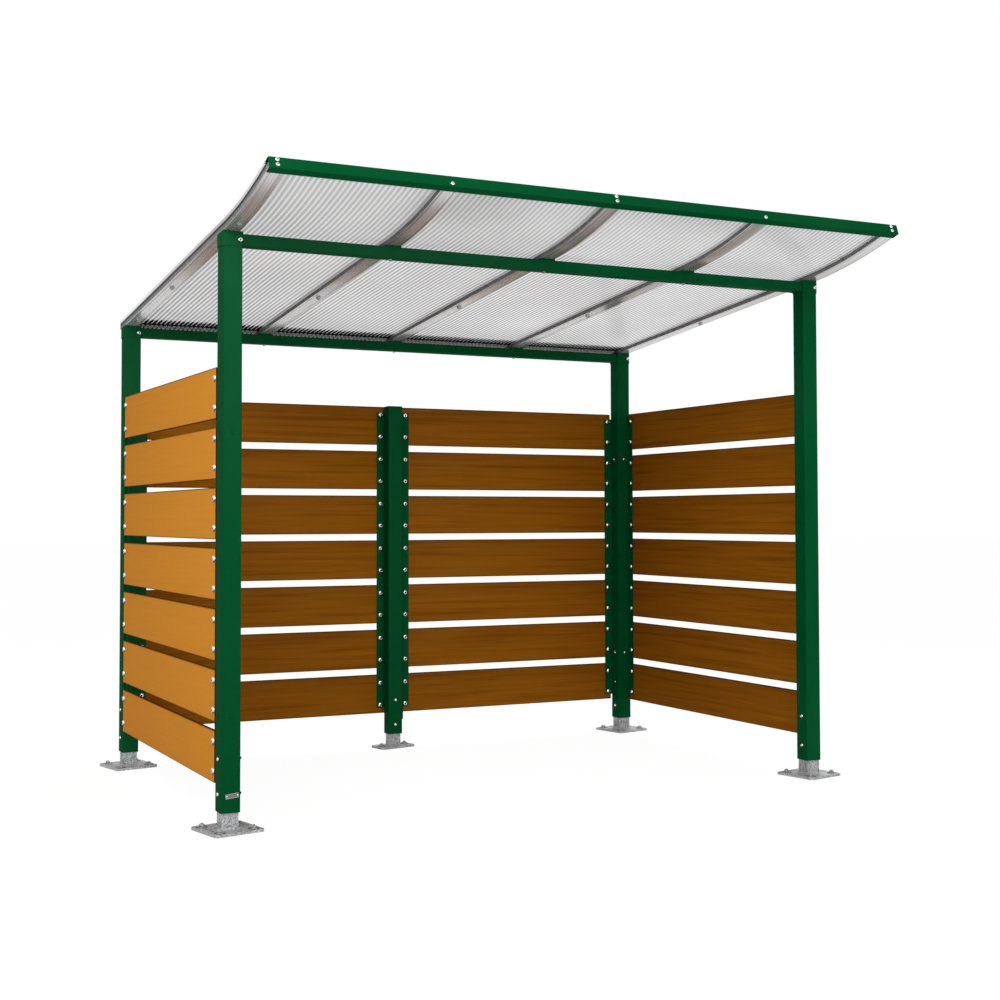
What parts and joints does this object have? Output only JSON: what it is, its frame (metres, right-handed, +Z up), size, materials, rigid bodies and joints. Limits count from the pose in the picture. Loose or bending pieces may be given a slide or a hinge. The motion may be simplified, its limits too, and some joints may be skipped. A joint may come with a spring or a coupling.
{
  "type": "bin shelter",
  "caption": "Open-fronted shelter for wheeled bins: steel posts, slatted sides and back, and a lean-to roof that curves up at the front.",
  "frame": {"origin": "on the ground, at the centre of the bounding box seen from above", "axes": "+X along the width, to the right seen from the open front; +Y from the open front to the back wall; +Z up"},
  "size_m": [2.7138, 2.1282, 2.2145],
  "materials": {
    "green_paint": "gloss powder coat",
    "galvanised": "hot-dip galvanised, dull and mottled",
    "aluminium": "satin mill finish",
    "roof_sheet": "opal multiwall sheet",
    "rubber": "matt black",
    "boards": "smooth brown board with a faint grain"
  },
  "bodies": {
    "root": {"front_left_post": "green_paint", "front_right_post": "green_paint", "back_left_post": "green_paint", "back_right_post": "green_paint", "middle_post": "green_paint", "front_beam": "green_paint", "back_beam": "green_paint", "fascia": "green_paint", "front_left_cap": "green_paint", "front_right_cap": "green_paint", "back_left_cap": "green_paint", "back_right_cap": "green_paint", "back_left_bracket": "green_paint", "back_right_bracket": "green_paint", "front_left_bracket": "green_paint", "front_right_bracket": "green_paint", "middle_plate": "green_paint", "front_left_foot": "galvanised", "front_right_foot": "galvanised", "back_left_foot": "galvanised", "back_right_foot": "galvanised", "middle_foot": "galvanised", "rib_1": "aluminium", "rib_2": "aluminium", "rib_3": "aluminium", "rib_4": "aluminium", "rib_5": "aluminium", "rib_cap_1": "aluminium", "rib_cap_2": "aluminium", "rib_cap_3": "aluminium", "rib_cap_4": "aluminium", "rib_cap_5": "aluminium", "blank_plate": "aluminium", "roof_panel_1": "roof_sheet", "roof_panel_2": "roof_sheet", "roof_panel_3": "roof_sheet", "roof_panel_4": "roof_sheet", "rib_seals": "rubber", "panel_end_trim": "rubber", "left_boards": "boards", "right_boards": "boards", "back_left_boards": "boards", "back_right_boards": "boards"}
  },
  "joints": []
}
